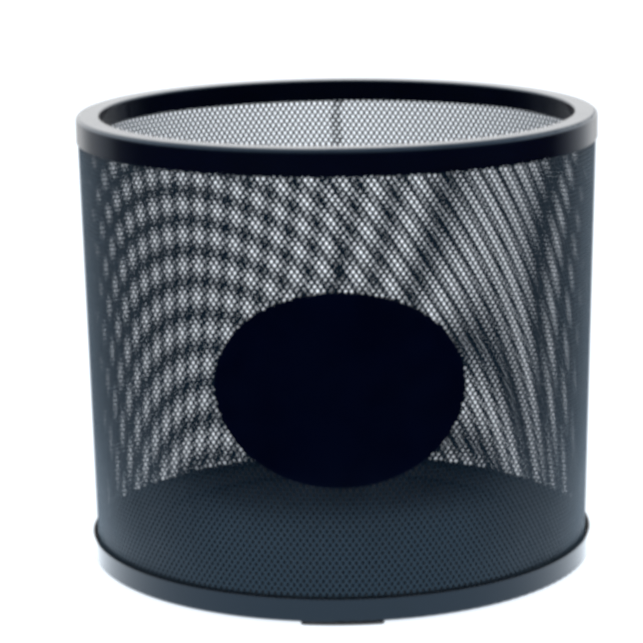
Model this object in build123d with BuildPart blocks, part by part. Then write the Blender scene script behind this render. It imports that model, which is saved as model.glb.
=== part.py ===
"""Round mesh wastebasket with a channel rim, a base ring and an oval front plate.

Millimetres, +Z up. The origin is on the floor, on the basket's axis, and the front
of the basket faces -Y. The wall is a steep cone, and it is made here as a plain
shell, which stands for a sheet of expanded steel.
"""

import math
import os

from build123d import *

# ---- driving dimensions -------------------------------------------------------

rim_diameter = 292.0  # over the top rim, the widest part of the basket
body_height = 253.3  # from the underside of the base ring to the top of the rim
sheet = 0.6  # thickness of the pressed steel pieces

foot_height = 1.7
foot_width = 4.6
foot_length = 40.0

rim_width = 12.8  # flat top of the rim, from its outer wall to the mouth
rim_outer_skirt = 14.3
rim_inner_skirt = 12.0
rim_outer_radius = 2.2  # rolled corner outside
rim_inner_radius = 1.0  # tighter corner at the mouth

mesh_thickness = 0.8
mesh_radius_top = 145.15  # outside of the mesh where it enters the rim
mesh_radius_bottom = 140.95  # outside of the mesh where it enters the base ring
mesh_top_gap = 2.8  # the mesh stops this far below the rim's top
lap_width = 9.0  # the two ends of the rolled sheet overlap by this much

ring_diameter = 287.4
ring_height = 12.7
ring_corner_radius = 1.2
ring_inner_wall = 8.0
channel_wall_clearance = 0.02

pan_height = 10.6  # top of the base pan above the underside of the ring
pan_corner_radius = 2.0
pan_bead_radius = 112.0  # where the pan's pressed step is
pan_bead_depth = 1.4
pan_bead_width = 4.0

plate_arc_width = 137.0  # measured round the wall
plate_height = 105.0
plate_centre_height = 126.0  # above the underside of the ring
plate_thickness = 1.0
plate_edge_radius = 0.35

# ---- derived dimensions -------------------------------------------------------

rim_radius = rim_diameter / 2
mouth_radius = rim_radius - rim_width
ring_radius = ring_diameter / 2
base_z = foot_height
top_z = base_z + body_height
skirt_z = top_z - rim_outer_skirt
ring_top_z = base_z + ring_height

mesh_slope = (mesh_radius_top - mesh_radius_bottom) / (skirt_z - ring_top_z)


def mesh_radius(z):
    """Outside radius of the mesh wall at height z."""
    return mesh_radius_bottom + mesh_slope * (z - ring_top_z)


mesh_bottom_z = base_z + sheet
mesh_top_z = top_z - mesh_top_gap
pan_radius = mesh_radius(mesh_bottom_z) - mesh_thickness - channel_wall_clearance
pan_flange_z = base_z + ring_corner_radius + channel_wall_clearance
channel_radius = pan_radius - sheet - channel_wall_clearance
plate_z = base_z + plate_centre_height
foot_radius = (ring_radius + channel_radius - sheet) / 2

os.makedirs("parts", exist_ok=True)

# ---- mesh wall ----------------------------------------------------------------
# One sheet rolled into a cone. Its ends lap at the back, inside the wall, and the
# inner layer of the lap is trimmed clear of the rim's skirts and of the base ring.

with BuildPart() as mesh_wall:
    with BuildSketch(Plane.XZ):
        with BuildLine():
            Polyline(
                (mesh_radius(mesh_bottom_z), mesh_bottom_z),
                (mesh_radius(mesh_top_z), mesh_top_z),
                (mesh_radius(mesh_top_z) - mesh_thickness, mesh_top_z),
                (mesh_radius(mesh_bottom_z) - mesh_thickness, mesh_bottom_z),
                close=True,
            )
        make_face()
    revolve(axis=Axis.Z)

    lap_angle = math.degrees(lap_width / mesh_radius(plate_z))
    with BuildSketch(Plane.XZ.rotated((0, 0, 90 - lap_angle / 2))):
        with BuildLine():
            Polyline(
                (mesh_radius(ring_top_z) - mesh_thickness, ring_top_z),
                (mesh_radius(skirt_z) - mesh_thickness, skirt_z),
                (mesh_radius(skirt_z) - 2 * mesh_thickness, skirt_z),
                (mesh_radius(ring_top_z) - 2 * mesh_thickness, ring_top_z),
                close=True,
            )
        make_face()
    revolve(axis=Axis.Z, revolution_arc=lap_angle)
mesh_wall.part.label = "mesh_wall"
export_step(mesh_wall.part, "parts/mesh_wall.step")

# ---- top rim ------------------------------------------------------------------
# An inverted channel rolled from sheet: outer skirt, flat top and inner skirt.

with BuildPart() as top_rim:
    with BuildSketch(Plane.XZ):
        with BuildLine():
            FilletPolyline(
                (rim_radius, skirt_z),
                (rim_radius, top_z),
                (mouth_radius, top_z),
                (mouth_radius, top_z - rim_inner_skirt),
                radius=(rim_outer_radius, rim_inner_radius),
            )
            offset(amount=sheet, side=Side.LEFT)
        make_face()
    revolve(axis=Axis.Z)
top_rim.part.label = "top_rim"
export_step(top_rim.part, "parts/top_rim.step")

# ---- base ring ----------------------------------------------------------------
# A channel open at the top. The mesh and the flange of the pan stand in it against
# its inner wall, and its outer wall stands clear of the mesh.

with BuildPart() as base_ring:
    with BuildSketch(Plane.XZ):
        with BuildLine():
            FilletPolyline(
                (channel_radius - sheet, base_z + ring_inner_wall),
                (channel_radius - sheet, base_z),
                (ring_radius, base_z),
                (ring_radius, ring_top_z),
                radius=ring_corner_radius,
            )
            offset(amount=sheet, side=Side.LEFT)
        make_face()
    revolve(axis=Axis.Z)
base_ring.part.label = "base_ring"
export_step(base_ring.part, "parts/base_ring.step")

# ---- base pan -----------------------------------------------------------------
# A pressed disc with its flange turned down into the base ring, and one shallow
# pressed step that stiffens it.

with BuildPart() as base_pan:
    pan_z = base_z + pan_height
    with BuildSketch(Plane.XZ):
        with BuildLine():
            FilletPolyline(
                (0, pan_z - pan_bead_depth),
                (pan_bead_radius - pan_bead_width, pan_z - pan_bead_depth),
                (pan_bead_radius, pan_z),
                (pan_radius, pan_z),
                (pan_radius, pan_flange_z),
                radius=pan_corner_radius,
            )
            offset(amount=sheet, side=Side.RIGHT)
        make_face()
    revolve(axis=Axis.Z)
base_pan.part.label = "base_pan"
export_step(base_pan.part, "parts/base_pan.step")

# ---- oval plate ---------------------------------------------------------------
# A blank elliptical plate bent round the cone of the wall at the front. Its outline
# is the ellipse as the bent plate shows it from the front.

outline_points = 24


def plate_outline(step):
    """Point of the bent plate's outline, seen from the front."""
    turn = 2 * math.pi * step / outline_points
    bend_radius = mesh_radius(plate_z) + plate_thickness
    bend_angle = plate_arc_width / 2 * math.cos(turn) / bend_radius
    return (bend_radius * math.sin(bend_angle), plate_z + plate_height / 2 * math.sin(turn))


with BuildPart() as oval_plate:
    low_z = plate_z - plate_height
    high_z = plate_z + plate_height
    with BuildSketch(Plane.XZ):
        with BuildLine():
            Polyline(
                (mesh_radius(low_z), low_z),
                (mesh_radius(low_z) + plate_thickness, low_z),
                (mesh_radius(high_z) + plate_thickness, high_z),
                (mesh_radius(high_z), high_z),
                close=True,
            )
        make_face()
    revolve(axis=Axis.Z)
    with BuildSketch(Plane.XZ):
        with BuildLine():
            Spline([plate_outline(step) for step in range(outline_points)], periodic=True)
        make_face()
    extrude(amount=rim_radius, mode=Mode.INTERSECT)
    fillet(oval_plate.edges().group_by(Axis.Y)[0], plate_edge_radius)
oval_plate.part.label = "oval_plate"
export_step(oval_plate.part, "parts/oval_plate.step")

# ---- feet ---------------------------------------------------------------------
# Four low rubber strips with round ends, stuck under the base ring.

foot_angles = {"foot_front": 270, "foot_right": 0, "foot_back": 90, "foot_left": 180}
foot_sweep = math.degrees(foot_length / foot_radius)

for name, angle in foot_angles.items():
    with BuildPart() as foot:
        with BuildSketch():
            SlotArc(CenterArc((0, 0), foot_radius, angle - foot_sweep / 2, foot_sweep), foot_width)
        extrude(amount=foot_height)
        fillet(foot.edges().group_by(Axis.Z)[0], foot_height / 4)
    foot.part.label = name
    export_step(foot.part, f"parts/{name}.step")
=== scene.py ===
"""Looks of a round steel mesh wastebasket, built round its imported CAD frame.

Metres, +Z up. The basket stands on the floor on its axis and its front faces -Y.
The CAD pieces keep their shapes and get their finish here. The plain shell of the
wall is replaced by expanded steel with real holes.
"""

import math

import bpy
import numpy as np
from mathutils import Euler, Matrix, Vector


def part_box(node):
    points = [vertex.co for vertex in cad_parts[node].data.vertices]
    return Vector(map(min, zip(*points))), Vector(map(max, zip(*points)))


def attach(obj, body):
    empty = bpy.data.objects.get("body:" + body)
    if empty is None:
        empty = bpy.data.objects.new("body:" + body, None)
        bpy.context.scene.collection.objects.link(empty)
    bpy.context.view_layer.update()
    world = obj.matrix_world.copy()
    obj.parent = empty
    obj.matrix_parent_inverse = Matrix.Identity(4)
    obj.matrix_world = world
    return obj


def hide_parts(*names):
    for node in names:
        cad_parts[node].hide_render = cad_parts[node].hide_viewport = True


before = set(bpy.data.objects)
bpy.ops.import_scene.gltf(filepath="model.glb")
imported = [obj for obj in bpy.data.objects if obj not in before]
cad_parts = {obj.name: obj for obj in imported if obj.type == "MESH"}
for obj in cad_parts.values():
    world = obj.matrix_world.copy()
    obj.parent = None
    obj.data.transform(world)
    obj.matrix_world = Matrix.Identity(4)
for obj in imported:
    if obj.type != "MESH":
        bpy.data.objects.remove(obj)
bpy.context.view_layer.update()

MM = 0.001
BODY = "root"
END_TOLERANCE = 0.1 * MM

# ---- places read from the frame -----------------------------------------------

rim_low, rim_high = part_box("top_rim")
ring_low, ring_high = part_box("base_ring")
shell_low, shell_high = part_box("mesh_wall")
body_mid_z = (ring_low.z + rim_high.z) / 2

shell_points = np.array([v.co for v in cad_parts["mesh_wall"].data.vertices])


def shell_end_radius(height):
    """Outside radius of the wall's CAD shell at its top or bottom end."""
    at_end = shell_points[np.abs(shell_points[:, 2] - height) < END_TOLERANCE]
    return np.hypot(at_end[:, 0], at_end[:, 1]).max()


radius_low = shell_end_radius(shell_low.z)
radius_high = shell_end_radius(shell_high.z)


def wall_radius(z):
    """Outside radius of the wall at height z."""
    share = (z - shell_low.z) / (shell_high.z - shell_low.z)
    return radius_low + (radius_high - radius_low) * share


# ---- node helpers -------------------------------------------------------------


class Nodes:
    """A short way to add and join the nodes of one node tree."""

    def __init__(self, tree):
        self.tree = tree
        tree.nodes.clear()

    def add(self, kind, inputs=None, **settings):
        """A new node with its settings, and with each input set or joined."""
        node = self.tree.nodes.new(kind)
        for name, value in settings.items():
            setattr(node, name, value)
        for name, value in (inputs or {}).items():
            if isinstance(value, bpy.types.NodeSocket):
                self.tree.links.new(value, node.inputs[name])
            else:
                node.inputs[name].default_value = value
        return node

    def math(self, operation, first, second=0.0):
        """The output of one math node."""
        return self.add("ShaderNodeMath", {0: first, 1: second}, operation=operation).outputs[0]

    def map(self, value, start, stop, low, high, interpolation="LINEAR"):
        """value taken from the range start to stop over to the range low to high."""
        inputs = {"Value": value, "From Min": start, "From Max": stop, "To Min": low, "To Max": high}
        return self.add("ShaderNodeMapRange", inputs, interpolation_type=interpolation).outputs["Result"]

    def mix(self, factor, first, second):
        """A colour part way from first to second."""
        inputs = {"Factor": factor, "A": first, "B": second}
        return self.add("ShaderNodeMix", inputs, data_type="RGBA").outputs["Result"]

    def ramp(self, factor, stops):
        """A colour ramp's output. stops are (place, colour) pairs, from low to high."""
        node = self.add("ShaderNodeValToRGB", {"Fac": factor})
        elements = node.color_ramp.elements
        while len(elements) < len(stops):
            elements.new(0.5)
        for element, (place, colour) in zip(elements, stops):
            element.position = place
            element.color = (*colour, 1)
        return node.outputs["Color"]

    def noise(self, position, scale, detail=2.0, roughness=0.5):
        """A noise texture's grey output."""
        inputs = {"Vector": position, "Scale": scale, "Detail": detail, "Roughness": roughness}
        return self.add("ShaderNodeTexNoise", inputs).outputs["Fac"]


def grey(value):
    """A grey, as red, green and blue."""
    return (value, value, value)


# ---- finishes -----------------------------------------------------------------

ENAMEL_TINT = (0.46, 0.72, 1.0)  # the enamel's reflection is faintly blue face on
RING_TINT = (0.50, 0.68, 0.83)
MESH_TINT = (0.44, 0.68, 0.88)
SHEEN_TINT = (0.42, 0.72, 1.0)
SHEEN_ROUGHNESS = 0.38
MOTTLE_SCALE = 45.0  # noise scales are in cycles per metre
MOTTLE_BAND = (0.35, 0.65)  # the noise that the two shades stand for
HAZE_SCALE = 26.0
HAZE_BAND = (0.3, 0.7)  # the noise that the lowest and highest roughness stand for
EDGE_BAND = (0.12, 0.5)  # how far from face on the edge haze starts and is full
DUST_SCALE = 220.0
RUBBER_GRAIN_SCALE = 1800.0


def paint(name, dark, light, roughness, gloss, tint, grain, grain_depth, edge_haze=0.0, sheen=0.0):
    """Black stove enamel over steel. dark and light are the two shades that mottle
    its colour, roughness its lowest and highest roughness, grain the size of the
    paint's orange peel and grain_depth that grain's height, in metres. edge_haze is
    the roughness it gains where it is seen edge on, as rounded strands do, and sheen
    is the weight of the blue sheen that goes with it."""
    material = bpy.data.materials.new(name)
    material.use_nodes = True
    nodes = Nodes(material.node_tree)
    position = nodes.add("ShaderNodeTexCoord").outputs["Object"]
    mottle = nodes.noise(position, MOTTLE_SCALE, detail=3.0)
    colour = nodes.ramp(mottle, list(zip(MOTTLE_BAND, (dark, light))))
    haze = nodes.noise(position, HAZE_SCALE, detail=5.0, roughness=0.6)
    rough = nodes.map(haze, *HAZE_BAND, *roughness)
    if edge_haze:
        facing = nodes.add("ShaderNodeLayerWeight", {"Blend": 0.5}).outputs["Facing"]
        rough = nodes.math("ADD", rough, nodes.map(facing, *EDGE_BAND, 0.0, edge_haze, "SMOOTHSTEP"))
    peel = nodes.noise(position, 1.0 / grain, detail=1.0)
    bump = nodes.add("ShaderNodeBump", {"Height": peel, "Distance": grain_depth, "Strength": 1.0})
    shader = nodes.add("ShaderNodeBsdfPrincipled", {
        "Base Color": colour,
        "Roughness": rough,
        "Specular IOR Level": gloss,
        "Specular Tint": (*tint, 1),
        "Sheen Weight": sheen,
        "Sheen Roughness": SHEEN_ROUGHNESS,
        "Sheen Tint": (*SHEEN_TINT, 1),
        "Normal": bump.outputs["Normal"],
    })
    nodes.add("ShaderNodeOutputMaterial", {"Surface": shader.outputs["BSDF"]})
    return material


def rubber(name):
    """Black foot rubber, dull and faintly dusty."""
    material = bpy.data.materials.new(name)
    material.use_nodes = True
    nodes = Nodes(material.node_tree)
    position = nodes.add("ShaderNodeTexCoord").outputs["Object"]
    dust = nodes.noise(position, DUST_SCALE, detail=4.0, roughness=0.7)
    colour = nodes.ramp(dust, [(0.4, grey(0.018)), (0.75, grey(0.05))])
    grain = nodes.noise(position, RUBBER_GRAIN_SCALE)
    bump = nodes.add("ShaderNodeBump", {"Height": grain, "Distance": 0.1 * MM, "Strength": 0.8})
    shader = nodes.add("ShaderNodeBsdfPrincipled", {
        "Base Color": colour,
        "Roughness": nodes.map(dust, 0.0, 1.0, 0.75, 0.95),
        "Normal": bump.outputs["Normal"],
    })
    nodes.add("ShaderNodeOutputMaterial", {"Surface": shader.outputs["BSDF"]})
    return material


rim_enamel = paint(
    "rim_enamel", dark=(0.0001, 0.0003, 0.0042), light=(0.0002, 0.0006, 0.0058),
    roughness=(0.10, 0.16), gloss=0.72, tint=ENAMEL_TINT, grain=1.6 * MM, grain_depth=0.004 * MM,
)
ring_enamel = paint(
    "ring_enamel", dark=(0.0006, 0.0017, 0.0060), light=(0.0009, 0.0024, 0.0080),
    roughness=(0.12, 0.18), gloss=0.37, tint=RING_TINT, grain=1.6 * MM, grain_depth=0.004 * MM,
)
mesh_enamel = paint(
    "mesh_enamel", dark=(0.0014, 0.0058, 0.0125), light=(0.0024, 0.0078, 0.0160),
    roughness=(0.13, 0.20), gloss=0.36, tint=MESH_TINT, grain=0.5 * MM, grain_depth=0.004 * MM,
    edge_haze=0.36, sheen=0.22,
)
plate_enamel = paint(
    "plate_enamel", dark=(0.0001, 0.0006, 0.0054), light=(0.0002, 0.0010, 0.0072),
    roughness=(0.16, 0.24), gloss=0.07, tint=ENAMEL_TINT, grain=1.2 * MM, grain_depth=0.003 * MM,
)
pan_enamel = paint(
    "pan_enamel", dark=(0.0026, 0.0042, 0.0085), light=(0.0045, 0.0066, 0.0120),
    roughness=(0.50, 0.62), gloss=0.03, tint=ENAMEL_TINT, grain=0.9 * MM, grain_depth=0.006 * MM,
)
foot_rubber = rubber("foot_rubber")

CAD_FINISHES = {
    "top_rim": rim_enamel,
    "base_ring": ring_enamel,
    "base_pan": pan_enamel,
    "oval_plate": plate_enamel,
    "foot_front": foot_rubber,
    "foot_right": foot_rubber,
    "foot_back": foot_rubber,
    "foot_left": foot_rubber,
}
for node_name, finish in CAD_FINISHES.items():
    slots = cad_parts[node_name].data.materials
    slots.clear()
    slots.append(finish)

# ---- expanded steel wall ------------------------------------------------------
# The sheet is a staggered grid of sites. A hole is at every site whose column and
# row add up to an even number, and a bond, where four strands meet, at every other.
# Column 0 is the end of the sheet that is tucked in behind its other end at the lap.

TURN_COLUMNS = 510  # sites once round the wall, twice the holes in one row
LAP_COLUMNS = 5  # sites that the two ends of the sheet overlap by
ROW_STEP = 2.5 * MM
LEAN_LOW = math.radians(1)  # the columns lean to the right as they rise, seen from
LEAN_HIGH = math.radians(3)  # outside: by the first angle low down, the second high up
LEAN_LOW_Z = 50 * MM
LEAN_HIGH_Z = 205 * MM
STEEL_THICKNESS = 0.40 * MM
WALL_INSET = 0.04 * MM  # keeps the sheet just inside the CAD shell's skin
LAP_INSET = 0.78 * MM  # how far the tucked end lies inside the other one
LAP_JOG_COLUMNS = 2.0  # the sheet steps out from the lap over this many sites
LAP_MISMATCH = 0.9 * MM  # the rows of the two ends miss each other by this much
FIRST_ROW_DROP = 1.5 * MM  # from the rim's skirt down to the first row in sight
HOLE_HALF_WIDTH = 0.88 * MM
HOLE_HALF_HEIGHT = 1.30 * MM
HOLE_HALF_SIDE = 0.42 * MM  # straight part of a hole's left and right sides
HOLE_HALF_TOP = 0.26 * MM  # straight part of its top and bottom
SHARP_ANGLE = math.radians(60)  # keeps the strands flat and rounds the holes' walls
SECTORS = 6  # the wall is this many pieces, so that no mesh is too large

column_angle = 2 * math.pi / TURN_COLUMNS
first_column_angle = math.pi / 2 - LAP_COLUMNS / 2 * column_angle
column_width = column_angle * (radius_low + radius_high) / 2
first_row_z = rim_low.z - FIRST_ROW_DROP
top_row = math.floor((shell_high.z - first_row_z - HOLE_HALF_HEIGHT) / ROW_STEP)
bottom_row = -math.floor((first_row_z - LAP_MISMATCH - shell_low.z - HOLE_HALF_HEIGHT) / ROW_STEP)
sheet_rows = range(bottom_row, top_row + 1)

# A hole's eight corners, counter-clockwise seen from outside, as (across, up).
hole_corners = [
    (HOLE_HALF_WIDTH, HOLE_HALF_SIDE),
    (HOLE_HALF_TOP, HOLE_HALF_HEIGHT),
    (-HOLE_HALF_TOP, HOLE_HALF_HEIGHT),
    (-HOLE_HALF_WIDTH, HOLE_HALF_SIDE),
    (-HOLE_HALF_WIDTH, -HOLE_HALF_SIDE),
    (-HOLE_HALF_TOP, -HOLE_HALF_HEIGHT),
    (HOLE_HALF_TOP, -HOLE_HALF_HEIGHT),
    (HOLE_HALF_WIDTH, -HOLE_HALF_SIDE),
]
# The two corners at each end of a hole's sides, in the order that the steel beside
# the hole meets them, which is clockwise round the hole.
RIGHT, UP_RIGHT, TOP, UP_LEFT = (0, 7), (1, 0), (2, 1), (3, 2)
LEFT, DOWN_LEFT, BOTTOM, DOWN_RIGHT = (4, 3), (5, 4), (6, 5), (7, 6)


def lean(z):
    """How far the columns have leant along the sheet at height z, in columns."""
    bend = (math.tan(LEAN_HIGH) - math.tan(LEAN_LOW)) / (LEAN_HIGH_Z - LEAN_LOW_Z)
    rise = z - LEAN_LOW_Z
    return (math.tan(LEAN_LOW) * rise + bend * rise * rise / 2) / column_width


def is_hole(column, row):
    """Whether the sheet has a hole at this site."""
    place = column + lean(first_row_z + row * ROW_STEP)
    in_sheet = row in sheet_rows and 0 <= place <= TURN_COLUMNS + LAP_COLUMNS
    return in_sheet and (column + row) % 2 == 0


def edge(column, row, side):
    """Both ends of one side of a hole, as (column, row, corner number)."""
    return [(column, row, corner) for corner in side]


def site_faces(column, row):
    """The flat faces of steel that belong to a site: the strands above a hole, or
    the bond between four holes."""
    if is_hole(column, row):
        if is_hole(column + 1, row + 1):
            yield edge(column, row, UP_RIGHT) + edge(column + 1, row + 1, DOWN_LEFT)
        if is_hole(column - 1, row + 1):
            yield edge(column, row, UP_LEFT) + edge(column - 1, row + 1, DOWN_RIGHT)
    elif all(map(is_hole, (column + 1, column, column - 1, column), (row, row + 1, row, row - 1))):
        yield (
            edge(column + 1, row, LEFT) + edge(column, row + 1, BOTTOM)
            + edge(column - 1, row, RIGHT) + edge(column, row - 1, TOP)
        )


def sheet_point(column, row, corner, depth):
    """Where a hole's corner is on the wall, at a depth inside the sheet's outside."""
    across, up = hole_corners[corner]
    z = first_row_z + row * ROW_STEP + up - LAP_MISMATCH * column / TURN_COLUMNS
    place = column + across / column_width + lean(z)
    angle = first_column_angle + place * column_angle
    tuck = min(max((LAP_COLUMNS + LAP_JOG_COLUMNS - place) / LAP_JOG_COLUMNS, 0), 1)
    radius = wall_radius(z) - WALL_INSET - LAP_INSET * tuck - depth
    return (radius * math.cos(angle), radius * math.sin(angle), z)


def expanded_sheet(name, columns):
    """A closed mesh of the sheet's steel at these columns."""
    faces = [face for row in sheet_rows for column in columns for face in site_faces(column, row)]
    number = {}
    for face in faces:
        for corner in face:
            number.setdefault(corner, len(number))
    points = [sheet_point(*corner, depth) for depth in (0.0, STEEL_THICKNESS) for corner in number]
    count = len(number)
    front = [[number[corner] for corner in face] for face in faces]
    back = [[count + corner for corner in reversed(face)] for face in front]
    ways = {(a, b) for face in front for a, b in zip(face, face[1:] + face[:1])}
    sides = [(b, a, a + count, b + count) for a, b in sorted(ways) if (b, a) not in ways]
    mesh = bpy.data.meshes.new(name)
    mesh.from_pydata(points, [], front + back + sides)
    mesh.shade_smooth()
    mesh.set_sharp_from_angle(angle=SHARP_ANGLE)
    mesh.materials.append(mesh_enamel)
    piece = bpy.data.objects.new(name, mesh)
    bpy.context.scene.collection.objects.link(piece)
    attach(piece, BODY)
    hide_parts("mesh_wall")


first_column = -math.ceil(lean(shell_high.z))
past_column = TURN_COLUMNS + LAP_COLUMNS + math.ceil(-lean(shell_low.z)) + 1
for sector in range(SECTORS):
    ends = [first_column + (past_column - first_column) * (sector + end) // SECTORS for end in (0, 1)]
    expanded_sheet(f"mesh_wall_{sector + 1}", range(*ends))

# ---- camera -------------------------------------------------------------------
# Solved from the ellipses of the rim, the mouth and the base ring in the photograph.

CAMERA_DISTANCE = 1.4994
CAMERA_ELEVATION = math.radians(12.63)
CAMERA_ROLL = math.radians(-0.687)
SENSOR = 36.0
LENS = SENSOR * 4.0765
SHIFT = (-0.02758, 0.01304)
FILTER_WIDTH = 4.0  # in pixels, wide enough to keep the fine mesh from sparkling

camera_data = bpy.data.cameras.new("camera")
camera_data.sensor_width = SENSOR
camera_data.lens = LENS
camera_data.shift_x, camera_data.shift_y = SHIFT
camera = bpy.data.objects.new("camera", camera_data)
bpy.context.scene.collection.objects.link(camera)
back = Vector((0, -math.cos(CAMERA_ELEVATION), math.sin(CAMERA_ELEVATION)))
camera.matrix_world = (
    Matrix.Translation(Vector((0, 0, body_mid_z)) + CAMERA_DISTANCE * back)
    @ Euler((math.pi / 2 - CAMERA_ELEVATION, 0, 0)).to_matrix().to_4x4()
    @ Matrix.Rotation(CAMERA_ROLL, 4, "Z")
)
bpy.context.scene.camera = camera

# ---- floor and backdrop -------------------------------------------------------

FLOOR_RADIUS = 40.0
FLOOR_GLOW = 0.92
FLOOR_WHITE = 0.24
COOL_WHITE = (1.0, 1.07, 1.15)  # shows as plain white, and as a cool grey through the mesh
BACKDROP_RADIUS = 12.0
BACKDROP_HEIGHT = 10.0
STAGE_SEGMENTS = 96


def stage_ring(radius, z):
    """Points of a level circle round the basket's axis."""
    turns = [2 * math.pi * step / STAGE_SEGMENTS for step in range(STAGE_SEGMENTS)]
    return [(radius * math.cos(turn), radius * math.sin(turn), z) for turn in turns]


def stage_piece(name, points, faces):
    """A piece of the studio and the nodes of its new material."""
    mesh = bpy.data.meshes.new(name)
    mesh.from_pydata(points, [], faces)
    piece = bpy.data.objects.new(name, mesh)
    bpy.context.scene.collection.objects.link(piece)
    material = bpy.data.materials.new(name)
    material.use_nodes = True
    mesh.materials.append(material)
    return piece, Nodes(material.node_tree)


def hide_from(piece, *kinds):
    """Hide a piece from these kinds of rays."""
    for kind in kinds:
        setattr(piece, f"visible_{kind}", False)


floor, nodes = stage_piece("floor", stage_ring(FLOOR_RADIUS, 0.0), [range(STAGE_SEGMENTS)])
floor_colour = [FLOOR_WHITE * part for part in COOL_WHITE]
white = nodes.add("ShaderNodeBsdfDiffuse", {"Color": (*floor_colour, 1)})
glow = nodes.add("ShaderNodeEmission", {"Color": (*COOL_WHITE, 1), "Strength": FLOOR_GLOW})
lit = nodes.add("ShaderNodeAddShader", {0: white.outputs[0], 1: glow.outputs[0]})
nodes.add("ShaderNodeOutputMaterial", {"Surface": lit.outputs[0]})
hide_from(floor, "glossy")

# A white wall far round the basket, behind it in the low views. Only the camera sees it.
backdrop, nodes = stage_piece(
    "backdrop",
    stage_ring(BACKDROP_RADIUS, 0.0) + stage_ring(BACKDROP_RADIUS, BACKDROP_HEIGHT),
    [
        (step, next_step, next_step + STAGE_SEGMENTS, step + STAGE_SEGMENTS)
        for step, next_step in zip(range(STAGE_SEGMENTS), [*range(1, STAGE_SEGMENTS), 0])
    ],
)
glow = nodes.add("ShaderNodeEmission", {"Color": (*COOL_WHITE, 1), "Strength": 1.0})
nodes.add("ShaderNodeOutputMaterial", {"Surface": glow.outputs[0]})
hide_from(backdrop, "diffuse", "glossy", "transmission", "volume_scatter", "shadow")

# ---- light --------------------------------------------------------------------
# Levels are how bright the studio is round the basket, by the degrees from the front,
# with the left negative: far and high levels for the sky, and foot and near levels for
# the floor close to the basket, which reflections see in place of the real floor.

LEVEL = 4.0  # the level that a ramp's full white stands for
FAR_LEVELS = {
    -180: 0.5, -165: 0.75, -152: 1.0, -144: 0.78, -136: 0.55, -126: 0.46, -118: 0.34, -110: 0.1,
    -95: 0.03, 95: 0.02, 108: 0.03, 118: 0.22, 128: 0.54, 136: 0.8, 144: 1.1, 152: 1.15,
    165: 0.75, 180: 0.5,
}
HIGH_LEVELS = {
    -180: 1.35, -140: 1.6, -90: 1.5, -60: 0.8, 0: 0.4, 60: 0.8, 90: 1.5, 140: 1.6, 180: 1.35,
}
OVERHEAD_LEVEL = 1.2
HORIZON_BAND = (-0.02, 0.04)  # the sky turns from far to high levels over these heights,
OVERHEAD_BAND = (0.6, 0.9)  # and to the overhead level over these, as sines of the elevation
FOOT_LEVELS = {
    -180: 1.2, -130: 2.0, -100: 2.6, -80: 2.8, -70: 2.6, -60: 2.45, -48: 2.3, -25: 2.25,
    25: 2.25, 48: 2.3, 60: 2.4, 70: 2.5, 80: 2.6, 100: 2.5, 130: 2.0, 180: 1.2,
}
NEAR_LEVELS = {
    -180: 1.2, -130: 1.9, -105: 2.1, -92: 1.9, -83: 1.75, -72: 1.8, -62: 1.9, -48: 2.15, -25: 2.25,
    25: 2.25, 48: 2.1, 60: 1.95, 72: 1.9, 89: 2.0, 105: 2.4, 130: 2.0, 180: 1.2,
}
NEAR_TINT = (0.92, 1.0, 1.08)
NEAR_DROP = 0.5 * MM  # the near floor lies this far below the floor
FOOT_BAND = (0.19, 0.23)  # its levels turn from foot to near ones over these radii,
NEAR_BAND = (0.31, 0.34)  # and it fades out over these


def turn_stops(levels, tint=(1, 1, 1)):
    """Ramp stops from the levels, over a full turn from the back, through the left,
    the front and the right, to the back again."""
    return [
        ((angle + 180) / 360, tuple(level / LEVEL * part for part in tint))
        for angle, level in sorted(levels.items())
    ]


def angle_from_front(nodes, vector):
    """Share of a turn, 0.5 straight in front, of a direction or a place."""
    parts = nodes.add("ShaderNodeSeparateXYZ", {"Vector": vector}).outputs
    forward = nodes.math("MULTIPLY", parts["Y"], -1.0)
    turn = nodes.math("ARCTAN2", parts["X"], forward)
    return nodes.math("ADD", nodes.math("DIVIDE", turn, 2 * math.pi), 0.5)


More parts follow.
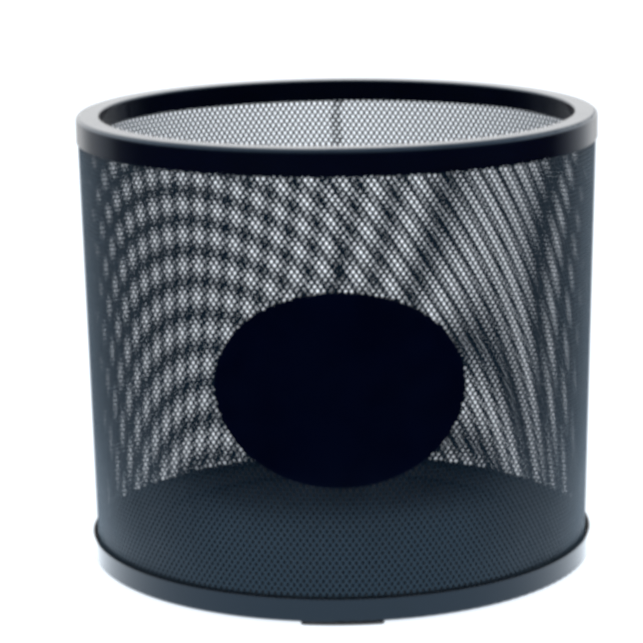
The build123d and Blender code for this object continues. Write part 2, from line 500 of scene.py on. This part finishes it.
# The floor near the basket, as reflections see it. Nothing else sees this disc.
near_floor, nodes = stage_piece(
    "near_floor", stage_ring(NEAR_BAND[1], -NEAR_DROP), [range(STAGE_SEGMENTS)]
)
place = nodes.add("ShaderNodeTexCoord").outputs["Object"]
turn = angle_from_front(nodes, place)
foot_level = nodes.ramp(turn, turn_stops(FOOT_LEVELS, NEAR_TINT))
near_level = nodes.ramp(turn, turn_stops(NEAR_LEVELS, NEAR_TINT))
parts = nodes.add("ShaderNodeSeparateXYZ", {"Vector": place}).outputs
squares = [nodes.math("MULTIPLY", parts[axis], parts[axis]) for axis in "XY"]
reach = nodes.math("SQRT", nodes.math("ADD", *squares))
level = nodes.mix(nodes.map(reach, *FOOT_BAND, 0.0, 1.0, "SMOOTHSTEP"), foot_level, near_level)
fade = nodes.map(reach, *NEAR_BAND, 1.0, 0.0, "SMOOTHSTEP")
glow = nodes.add("ShaderNodeEmission", {"Color": level, "Strength": LEVEL})
clear = nodes.add("ShaderNodeBsdfTransparent")
shown = nodes.add("ShaderNodeMixShader", {0: fade, 1: clear.outputs[0], 2: glow.outputs[0]})
nodes.add("ShaderNodeOutputMaterial", {"Surface": shown.outputs[0]})
hide_from(near_floor, "camera", "diffuse", "transmission", "volume_scatter", "shadow")

world = bpy.data.worlds.new("studio")
world.use_nodes = True
bpy.context.scene.world = world
nodes = Nodes(world.node_tree)
direction = nodes.add("ShaderNodeTexCoord").outputs["Generated"]
height = nodes.add("ShaderNodeSeparateXYZ", {"Vector": direction}).outputs["Z"]
turn = angle_from_front(nodes, direction)
far = nodes.ramp(turn, turn_stops(FAR_LEVELS))
high = nodes.ramp(turn, turn_stops(HIGH_LEVELS))
sides = nodes.mix(nodes.map(height, *HORIZON_BAND, 0.0, 1.0, "SMOOTHSTEP"), far, high)
overhead = (*grey(OVERHEAD_LEVEL / LEVEL), 1)
whole = nodes.mix(nodes.map(height, *OVERHEAD_BAND, 0.0, 1.0, "SMOOTHSTEP"), sides, overhead)
sky = nodes.add("ShaderNodeBackground", {"Color": whole, "Strength": LEVEL})
nodes.add("ShaderNodeOutputWorld", {"Surface": sky.outputs["Background"]})

bpy.context.scene.view_settings.view_transform = "Standard"
bpy.context.scene.cycles.filter_width = FILTER_WIDTH
